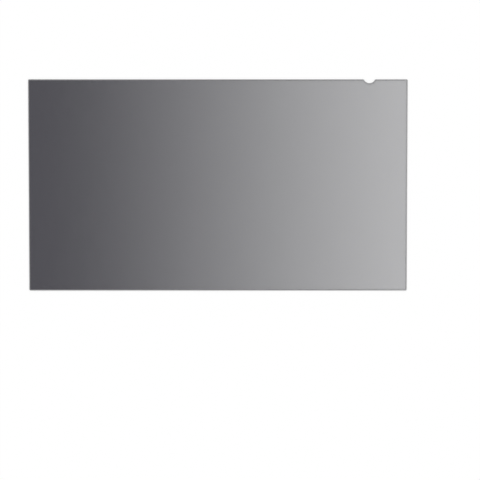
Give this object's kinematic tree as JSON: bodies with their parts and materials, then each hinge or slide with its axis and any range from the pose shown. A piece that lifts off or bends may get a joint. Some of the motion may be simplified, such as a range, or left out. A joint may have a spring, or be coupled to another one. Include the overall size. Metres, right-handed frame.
{
  "type": "monitor privacy filter",
  "caption": "Flat tinted plastic sheet that covers a widescreen monitor's screen to block views from the side, with rounded corners and an arc-shaped finger notch in the top edge.",
  "frame": {"origin": "middle of the rear face, on the surface that the sheet lies on", "axes": "+X to the right edge and +Y to the top edge with the finger notch, as seen from the front, +Z out of the front face"},
  "size_m": [0.698, 0.393, 0.0008],
  "materials": {
    "tinted_laminate": "smoke-tinted see-through laminate, anti-glare front, smooth rear"
  },
  "bodies": {
    "root": {"filter_sheet": "tinted_laminate"}
  },
  "joints": []
}
